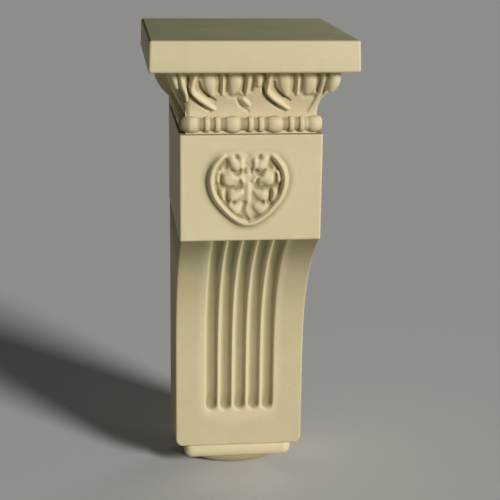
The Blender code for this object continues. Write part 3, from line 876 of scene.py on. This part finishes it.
@dataclass
class HeartBlock:
    """The plain block with a heart of scrolls carved on its face."""

    casting: Casting
    arris: float = 0.0013
    step: float = 0.00042
    width: float = 0.0520
    height: float = 0.0500
    ground: float = 0.0006
    rim_rise: float = 0.0039
    lobe_rise: float = 0.0034
    stem_rise: float = 0.0018
    skirt: float = 0.12
    off_middle: float = -0.0021  # the mould's heart stands a little left of the block's middle
    deepest: float = 0.0006
    worn_reach: float = 0.60
    # painted shade along the block's top ledge, under the beads
    ledge_shade: float = 0.9
    uneven: float = 0.00010
    recess_reach: int = 7  # in rows and columns
    recess_depth: float = 0.0013

    # Lines of the right half: across and down as shares of half the width and half the height
    rim: Line = (
        (0.0, 0.90, 0.080), (0.12, 0.880, 0.084), (0.28, 0.79, 0.088), (0.46, 0.635, 0.090),
        (0.64, 0.44, 0.090), (0.785, 0.235, 0.090), (0.87, 0.0, 0.092), (0.90, -0.27, 0.092),
        (0.83, -0.55, 0.085), (0.68, -0.76, 0.060), (0.58, -0.84, 0.034),
    )
    stem: Line = ((0.0, -0.12, 0.05), (0.0, 0.08, 0.08), (0.0, 0.32, 0.07))
    # The one deep groove that is on the left alone, with its depth
    groove: tuple[float, Line] = (0.0036, ((-0.09, 0.36, 0.060), (-0.12, 0.60, 0.070), (0.0, 0.82, 0.055)))
    lobes: tuple[Line, ...] = (
        ((0.40, -0.74, 0.10), (0.30, -0.60, 0.15)),
        ((0.17, -0.72, 0.08), (0.16, -0.58, 0.11)),
        ((0.16, -0.20, 0.08), (0.34, -0.30, 0.15), (0.50, -0.24, 0.17)),
        ((0.74, -0.42, 0.07), (0.75, -0.22, 0.09)),
        ((0.20, 0.10, 0.09), (0.33, 0.15, 0.15), (0.40, 0.20, 0.15)),
        ((0.60, 0.04, 0.08), (0.64, 0.14, 0.11), (0.60, 0.28, 0.08)),
        ((0.20, 0.46, 0.10), (0.36, 0.52, 0.17), (0.48, 0.44, 0.11)),
    )
    # Holes and grooves between them, with the depth of each
    cuts: tuple[tuple[float, Line], ...] = (
        (0.0034, ((0.545, -0.74, 0.060), (0.55, -0.55, 0.080))),
        (0.0026, ((0.29, -0.84, 0.050), (0.28, -0.80, 0.055))),
        (0.0032, ((0.39, -0.47, 0.055), (0.27, -0.36, 0.090), (0.19, -0.48, 0.055))),
        (0.0032, ((0.68, -0.34, 0.070), (0.65, -0.10, 0.085), (0.50, -0.02, 0.060))),
        (0.0020, ((0.50, -0.02, 0.050), (0.36, -0.03, 0.050))),
        (0.0032, ((0.22, -0.24, 0.060), (0.20, -0.06, 0.090), (0.33, 0.02, 0.055))),
        (0.0030, ((0.55, 0.00, 0.055), (0.53, 0.20, 0.075), (0.50, 0.36, 0.075))),
        (0.0028, ((0.35, 0.355, 0.070), (0.36, 0.36, 0.070))),
        (0.0016, ((0.10, -0.66, 0.045), (0.08, -0.40, 0.050))),
        (
            0.0024,
            (
                (0.60, -0.68, 0.05), (0.765, -0.42, 0.065), (0.79, -0.20, 0.065), (0.765, 0.02, 0.060),
                (0.68, 0.24, 0.060), (0.52, 0.46, 0.060), (0.34, 0.66, 0.055), (0.16, 0.76, 0.050),
            ),
        ),
    )

    def mark(self, line: Line, rise: float, section: Section, side: int) -> Mark:
        """A mark of the heart at its real size, on one side."""
        half_height = self.height / self.width
        shaped = [(across * side, down * half_height, half) for across, down, half in line]
        scale = self.width / 2
        return Mark([(a * scale, d * scale, h * scale) for a, d, h in shaped], rise, section, 8)

    def inside(self, across: np.ndarray, down: np.ndarray) -> np.ndarray:
        """How far in from the heart's rim each point lies, as a share of the way to its middle."""
        rim = smooth_line([*self.rim, (0.16, -0.86, 0.06), (0.0, -0.74, 0.06)], 8)
        rim = rim[:, :2] * (self.width / 2, self.height / 2)
        turn = np.arctan2(rim[:, 0], rim[:, 1])
        order = np.argsort(turn)
        reach = np.interp(np.arctan2(np.abs(across), down), turn[order], np.hypot(*rim[order].T))
        return 1 - np.hypot(across, down) / reach

    def build(self) -> bpy.types.Object:
        """Models the block's face with the heart in it, and runs it back to the wall."""
        c = self.casting
        x = arris_places(-c.half_block, c.half_block, self.arris, self.step)
        z = arris_places(c.block_foot, c.block_top, self.arris, self.step)[::-1]
        across, level = np.meshgrid(x, z)
        down = (c.block_top + c.block_foot) / 2 - level
        fall = edge_round(c.half_block - np.abs(across), self.arris)
        fall += edge_round(c.block_height / 2 - np.abs(down), self.arris)
        sheet = Sheet.facing_front(np.stack([across, fall - c.block_depth, level], 2))
        off = across - self.off_middle
        sheet.height += self.ground * smooth_step(1 + self.inside(off, down) / self.skirt)
        for side in (1, -1):
            self.mark(self.rim, self.rim_rise, Section.ROUND, side).work(off, down, sheet.height)
            for line in self.lobes:
                self.mark(line, self.lobe_rise, Section.ROUND, side).work(off, down, sheet.height)
        self.mark(self.stem, self.stem_rise, Section.ROUND, 1).work(off, down, sheet.height)
        for side in (1, -1):
            for depth, line in self.cuts:
                self.mark(line, -depth, Section.SOFT, side).work(off, down, sheet.height)
        depth, line = self.groove
        self.mark(line, -depth, Section.SOFT, 1).work(off, down, sheet.height)
        sheet.height = soften(np.maximum(sheet.height, -self.deepest), 1)
        carved = np.hypot(off / self.width, down / self.height) < self.worn_reach
        sheet.height = np.where(carved, soften(sheet.height, 1), sheet.height)
        flat = smooth_step((c.half_block - np.abs(across)) / EDGE_FADE)
        sheet.height += unevenness(across, down, self.uneven) * flat
        # painted shade on the top ledge, added to the recess
        ledge_shadow = self.ledge_shade * smooth_step(1 - (down + c.block_height / 2) / (self.arris / 2))
        piece = sheet.model("heart_block", sheet.recess(self.recess_reach, self.recess_depth) + ledge_shadow)
        run_back(piece)
        Bench.shade(piece, 50)
        return piece


@dataclass
class FlutedShaft:
    """The shaft: its front sweeps in under the block and carries five stopped flutes."""

    casting: Casting
    inset: float = 0.0004
    sweep_depth: float = 0.0590
    sweep_height: float = 0.1150
    sweep_power: float = 3.0
    sweep_start: float = 0.0010
    flutes: int = 5
    flute_width: float = 0.0082
    fillet: float = 0.0017
    flute_depth: float = 0.0033
    flute_stop: float = 0.0270
    arris: float = 0.0012
    corner_round: float = 0.0055
    painted_shaft_shade: float = 0.26  # how much painted shade the shaft has all over
    painted_shade: float = 0.55  # how much more painted shade it has close under the block
    shade_reach: float = 0.040
    step: float = 0.00045
    row_step: float = 0.0009
    uneven: float = 0.00012
    recess_reach: int = 8  # in rows and columns
    recess_depth: float = 0.0019

    @property
    def height(self) -> float:
        """From the block's underside to the shaft's foot."""
        return self.casting.block_foot - self.casting.shaft_foot

    def sweep(self, drop: np.ndarray) -> np.ndarray:
        """How far the front is behind the block's, at a drop below the block."""
        left = np.clip(1 - np.clip(drop, 0, None) / self.sweep_height, 0, 1)
        return self.sweep_start + self.sweep_depth * (1 - left**self.sweep_power)

    def hollow(self, across: np.ndarray, drop: np.ndarray) -> np.ndarray:
        """How deep the flutes are cut, with round ends at the foot."""
        pitch = self.flute_width + self.fillet
        middle = (self.flutes - 1) / 2
        k = np.clip(np.rint(across / pitch + middle), 0, self.flutes - 1)
        off = across - (k - middle) * pitch
        past = np.clip(drop - (self.height - self.flute_stop - self.flute_width / 2), 0, None)
        away = np.hypot(off, past) / (self.flute_width / 2)
        return self.flute_depth * np.sqrt(np.clip(1 - away**2, 0, 1))

    def build(self) -> bpy.types.Object:
        """Models the front with its flutes, and runs it back to the wall."""
        c = self.casting
        half = c.half_block - self.inset
        x = arris_places(-half, half, self.arris, self.step)
        rows = np.arange(-c.lap, self.height - self.arris, self.row_step)
        foot = self.height - self.arris * (1 - np.sin(np.linspace(0, math.pi / 2, ARRIS_STEPS + 1)))
        across, drop = np.meshgrid(x, np.concatenate([rows, foot]))
        fall = edge_round(half - np.abs(across), self.arris) + edge_round(self.height - drop, self.arris)
        narrowed = across * (1 - edge_round(self.height - drop, self.corner_round) / half)
        place = np.stack([narrowed, self.sweep(drop) + fall - c.block_depth, c.block_foot - drop], 2)
        sheet = Sheet.facing_front(place)
        sheet.height = soften(-self.hollow(across, drop), 1)
        flat = smooth_step((half - np.abs(across)) / EDGE_FADE)
        sheet.height += unevenness(across, drop, self.uneven) * flat
        # painted shade over the whole shaft, stronger under the block
        painted_shade = self.painted_shaft_shade + self.painted_shade * smooth_step(1 - drop / self.shade_reach)
        piece = sheet.model("fluted_shaft", sheet.recess(self.recess_reach, self.recess_depth) + painted_shade)
        run_back(piece)
        Bench.shade(piece, 50)
        return piece


@dataclass
class Foot:
    """The half-round moulding under the shaft, and the shallow boss under that."""

    casting: Casting
    torus_width: float = 0.0770
    torus_depth: float = 0.0610
    pendant_width: float = 0.0620
    pendant_depth: float = 0.0540
    torus_round: float = 0.49  # of its edges, as a share of its height
    painted_shade: float = 0.7  # how much painted shade the pendant has, under the half-round

    def torus(self) -> bpy.types.Object:
        """The half-round moulding: a bar with fully rounded edges, cut off at the wall."""
        c = self.casting
        half = self.torus_width / 2
        high = c.shaft_foot + c.lap / 2
        piece = Bench.box("foot", (-half, -self.torus_depth, c.torus_foot), (half, 2 * c.torus_height, high))
        Bench.round_edges(piece, c.torus_height * self.torus_round, 10, lambda a, b: True)
        Bench.cut_at_wall(piece)
        return piece

    def pendant(self) -> bpy.types.Object:
        """The shallow dish under it: its front is a quarter round, and it runs back to the wall."""
        c = self.casting
        rim = c.torus_foot + c.lap / 2
        deep = rim - c.foot
        Bench.clear()
        bpy.ops.mesh.primitive_uv_sphere_add(segments=64, ring_count=32, radius=1.0, location=(0, 0, rim))
        bpy.ops.transform.resize(value=(self.pendant_width / 2, deep, deep))
        piece = Bench.take("pendant")
        Bench.settle(piece)
        for vertex in piece.data.vertices:
            vertex.co.y += deep - self.pendant_depth if vertex.co.y < 1e-6 else deep
        Bench.cut_at_wall(piece)
        return piece

    def build(self) -> bpy.types.Object:
        """Models both mouldings as one piece."""
        c = self.casting
        piece = self.torus()
        Bench.unite(piece, self.pendant())
        levels = Bench.points(piece)[:, 2]
        # painted shade on the pendant below the half-round
        below = smooth_step((c.torus_foot + c.lap - levels) / (2 * c.lap))
        Bench.note_recess(piece, self.painted_shade * below)
        Bench.shade(piece, 35)
        return piece


class Value:
    """A number in a material, on which Python's operators add Math nodes."""

    def __init__(self, shader: "Shader", socket: bpy.types.NodeSocket) -> None:
        """Wraps one output socket."""
        self.shader = shader
        self.socket = socket

    def _with(self, operation: str, a: object, b: object) -> "Value":
        """The result of one Math node."""
        node = self.shader.node("ShaderNodeMath", {"operation": operation}, {0: a, 1: b})
        return Value(self.shader, node.outputs[0])

    def __add__(self, other: object) -> "Value":
        """Sum."""
        return self._with("ADD", self, other)

    __radd__ = __add__

    def __sub__(self, other: object) -> "Value":
        """Difference."""
        return self._with("SUBTRACT", self, other)

    def __rsub__(self, other: object) -> "Value":
        """Difference the other way round."""
        return self._with("SUBTRACT", other, self)

    def __mul__(self, other: object) -> "Value":
        """Product."""
        return self._with("MULTIPLY", self, other)

    __rmul__ = __mul__


class Shader:
    """A material's nodes, built one by one."""

    def __init__(self, name: str) -> None:
        """Starts an empty material with its Principled BSDF."""
        self.material = bpy.data.materials.new(name)
        self.material.use_nodes = True
        self.tree = self.material.node_tree
        self.surface = self.tree.nodes["Principled BSDF"]

    def node(
        self, kind: str, settings: dict[str, object] | None = None, inputs: dict[object, object] | None = None
    ) -> bpy.types.Node:
        """Adds a node.

        Args:
            kind: The node's type.
            settings: Its own settings, which are set first.
            inputs: A value or a link for each socket.

        Returns:
            The node.
        """
        made = self.tree.nodes.new(kind)
        for name, value in (settings or {}).items():
            setattr(made, name, value)
        for name, value in (inputs or {}).items():
            self.feed(made.inputs[name], value)
        return made

    def feed(self, socket: bpy.types.NodeSocket, value: object) -> None:
        """Sets a socket, or links it."""
        if isinstance(value, Value):
            self.tree.links.new(value.socket, socket)
        else:
            socket.default_value = value

    def out(self, node: bpy.types.Node, output: object = 0) -> Value:
        """A node's output as a value."""
        return Value(self, node.outputs[output])

    def place(self) -> Value:
        """The point's place in the object."""
        return self.out(self.node("ShaderNodeTexCoord"), "Object")

    def noise(self, scale: float, detail: float, roughness: float = 0.55) -> Value:
        """A cloud of values from about 0.3 to 0.7."""
        inputs = {"Vector": self.place(), "Scale": scale, "Detail": detail, "Roughness": roughness}
        return self.out(self.node("ShaderNodeTexNoise", None, inputs))

    def clamp(self, value: Value, low: float, high: float, start: float = 0.0, end: float = 1.0) -> Value:
        """Maps low to high onto start to end, and holds it there."""
        inputs = {"Value": value, "From Min": low, "From Max": high, "To Min": start, "To Max": end}
        return self.out(self.node("ShaderNodeMapRange", {"clamp": True}, inputs))

    def mix(self, factor: object, a: object, b: object) -> Value:
        """One colour mixed into another."""
        settings = {"data_type": "RGBA", "blend_type": "MIX", "clamp_factor": True}
        return self.out(self.node("ShaderNodeMix", settings, {0: factor, 6: a, 7: b}), 2)


@dataclass(frozen=True)
class CastPlaster:
    """Matt cream plaster: slow drifts of tone, painted shade in hollows and pores, paler ridges that are
    rubbed wear and painted highlight, and fine pores.
    """

    cream: Colour = (0.700, 0.612, 0.360, 1)
    warm: Colour = (0.720, 0.585, 0.350, 1)
    pale: Colour = (0.745, 0.670, 0.440, 1)
    shade: Colour = (0.270, 0.232, 0.100, 1)
    # painted shade on the slab's top
    top_shade: Colour = (0.300, 0.310, 0.160, 1)
    back: Colour = (0.600, 0.560, 0.440, 1)
    roughness: float = 0.62
    grain_height: float = 0.00005

    def material(self, top: float) -> bpy.types.Material:
        """Builds the finish.

        Args:
            top: The level of the slab's top, which gets painted shade.

        Returns:
            The material.
        """
        s = Shader("cream_cast_plaster")
        broad = s.noise(14, 3)
        cloud = s.noise(70, 4)
        grain = s.noise(900, 3, 0.6)
        recess = s.out(s.node("ShaderNodeAttribute", {"attribute_name": RECESS}), "Fac")
        # painted shade: the recess, with the shade noted on the pieces, darkens the colour towards the shade
        # colour
        hollow = s.clamp(recess + (cloud - 0.5) * 0.25, 0.06, 0.9)
        # paler ridges: rubbed wear and painted highlight
        ridge = s.clamp(recess * -1.0, 0.10, 0.8)
        base = s.mix(s.clamp(broad, 0.38, 0.66), self.cream, self.warm)
        base = s.mix(s.clamp(cloud, 0.52, 0.74) * 0.55, base, self.pale)
        base = s.mix(ridge * 0.22, base, self.pale)
        base = s.mix(hollow * 0.85, base, self.shade)
        pores = s.node("ShaderNodeTexVoronoi", None, {"Vector": s.place(), "Scale": 210.0, "Randomness": 1.0})
        pore = s.clamp(s.out(pores), 0.05, 0.09, 1.0, 0.0) * s.clamp(s.noise(31, 2), 0.54, 0.60)
        # painted shade in the pores
        base = s.mix(pore * 0.45, base, self.shade)
        places = s.node("ShaderNodeSeparateXYZ", None, {"Vector": s.place()})
        rear = s.clamp(s.out(places, "Y"), -0.0004, -0.0001)
        base = s.mix(rear * 0.8, base, self.back)
        # painted shade on the slab's top, varied by the slow drifts
        top_shade_mask = s.clamp(s.out(places, "Z"), top - 0.0009, top - 0.0002)
        base = s.mix(top_shade_mask * s.clamp(broad, 0.2, 0.7, 0.9, 0.6), base, self.top_shade)
        height = grain * self.grain_height + cloud * (4 * self.grain_height) - pore * 0.0003
        height = height + rear * s.noise(260, 4) * 0.0005
        bump = s.node("ShaderNodeBump", None, {"Strength": 1.0, "Distance": 1.0, "Height": height})
        rough = s.clamp(cloud + hollow * 0.3, 0.3, 0.9, self.roughness - 0.06, self.roughness + 0.14)
        s.feed(s.surface.inputs["Base Color"], base)
        s.feed(s.surface.inputs["Roughness"], rough)
        s.feed(s.surface.inputs["Normal"], s.out(bump))
        return s.material


@dataclass(frozen=True)
class FloorFinish:
    """A plain pale floor."""

    tone: Colour = (0.72, 0.71, 0.69, 1)

    def material(self) -> bpy.types.Material:
        """Builds the finish."""
        s = Shader("pale_floor")
        s.feed(s.surface.inputs["Base Color"], self.tone)
        s.feed(s.surface.inputs["Roughness"], 1.0)
        s.feed(s.surface.inputs["Specular IOR Level"], 0.0)
        return s.material


@dataclass
class Studio:
    """Floor, soft light and camera."""

    casting: Casting
    floor_size: float = 24.0
    camera_place: tuple[float, float, float] = (-0.09285, -0.92264, 0.24392)
    yaw: float = 6.62
    pitch: float = 15.349
    roll: float = 0.689
    lens: float = 93.6

    def floor(self) -> None:
        """A wide floor just under the lowest point."""
        Bench.clear()
        bpy.ops.mesh.primitive_plane_add(size=self.floor_size, location=(0, 0, self.casting.foot - 0.0003))
        floor = Bench.take("studio_floor")
        Bench.settle(floor)
        floor.data.materials.append(FloorFinish().material())

    def lamp(self, name: str, azimuth: float, elevation: float, softness: float, strength: float) -> None:
        """A soft light from far off, which falls alike on the object and the floor.

        Args:
            name: The light's name.
            azimuth: Where it stands, in degrees to the right of straight in front.
            elevation: How high it stands, in degrees.
            softness: How wide it looks, in degrees.
            strength: Its strength in watts a square metre.
        """
        a, e = math.radians(azimuth), math.radians(elevation)
        way = Vector((math.sin(a) * math.cos(e), -math.cos(a) * math.cos(e), math.sin(e)))
        Bench.clear()
        bpy.ops.object.light_add(type="SUN", location=way)
        light = bpy.context.active_object
        light.name = name
        light.data.angle = math.radians(softness)
        light.data.energy = strength
        light.rotation_euler = way.to_track_quat("Z", "Y").to_euler()

    def light(self) -> None:
        """A key from the front, right and a little above, a weak one from behind, and a dim room."""
        self.lamp("key", 38, 19, 14, 3.0)
        self.lamp("rear", 140, 8, 20, 0.8)
        world = bpy.context.scene.world or bpy.data.worlds.new("studio")
        bpy.context.scene.world = world
        world.use_nodes = True
        background = world.node_tree.nodes["Background"]
        background.inputs["Color"].default_value = (0.84, 0.92, 0.82, 1)
        background.inputs["Strength"].default_value = 0.03

    def camera(self) -> None:
        """The camera at the photograph's viewing angle."""
        y, p, r = (math.radians(angle) for angle in (self.yaw, self.pitch, self.roll))
        forward = Vector((math.sin(y) * math.cos(p), math.cos(y) * math.cos(p), -math.sin(p)))
        level = Vector((math.cos(y), -math.sin(y), 0))
        upright = level.cross(forward)
        right = math.cos(r) * level + math.sin(r) * upright
        up = math.cos(r) * upright - math.sin(r) * level
        data = bpy.data.cameras.new("camera")
        data.lens = self.lens
        data.sensor_width = 36
        camera = bpy.data.objects.new("camera", data)
        turn = Matrix((right, up, -forward)).transposed().to_4x4()
        camera.matrix_world = Matrix.Translation(self.camera_place) @ turn
        bpy.context.scene.collection.objects.link(camera)
        bpy.context.scene.camera = camera

    def build(self) -> None:
        """Sets up the studio."""
        self.floor()
        self.light()
        self.camera()
        bpy.context.scene.view_settings.view_transform = "Standard"


def main() -> None:
    """Builds the casting's pieces in order, dresses them and reports each."""
    logging.basicConfig(level=logging.INFO, format="%(message)s")
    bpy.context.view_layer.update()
    casting = Casting.from_frame()
    plaster = CastPlaster().material(casting.top)
    parts = (Slab, Neck, LeafBand, BeadRow, HeartBlock, FlutedShaft, Foot)
    for part in parts:
        piece = part(casting).build()
        piece.data.materials.clear()
        piece.data.materials.append(plaster)
        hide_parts(NODE)
        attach(piece, BODY)
        log.info("%s: %d faces", piece.name, len(piece.data.polygons))
    Studio(casting).build()


if __name__ == "__main__":
    main()
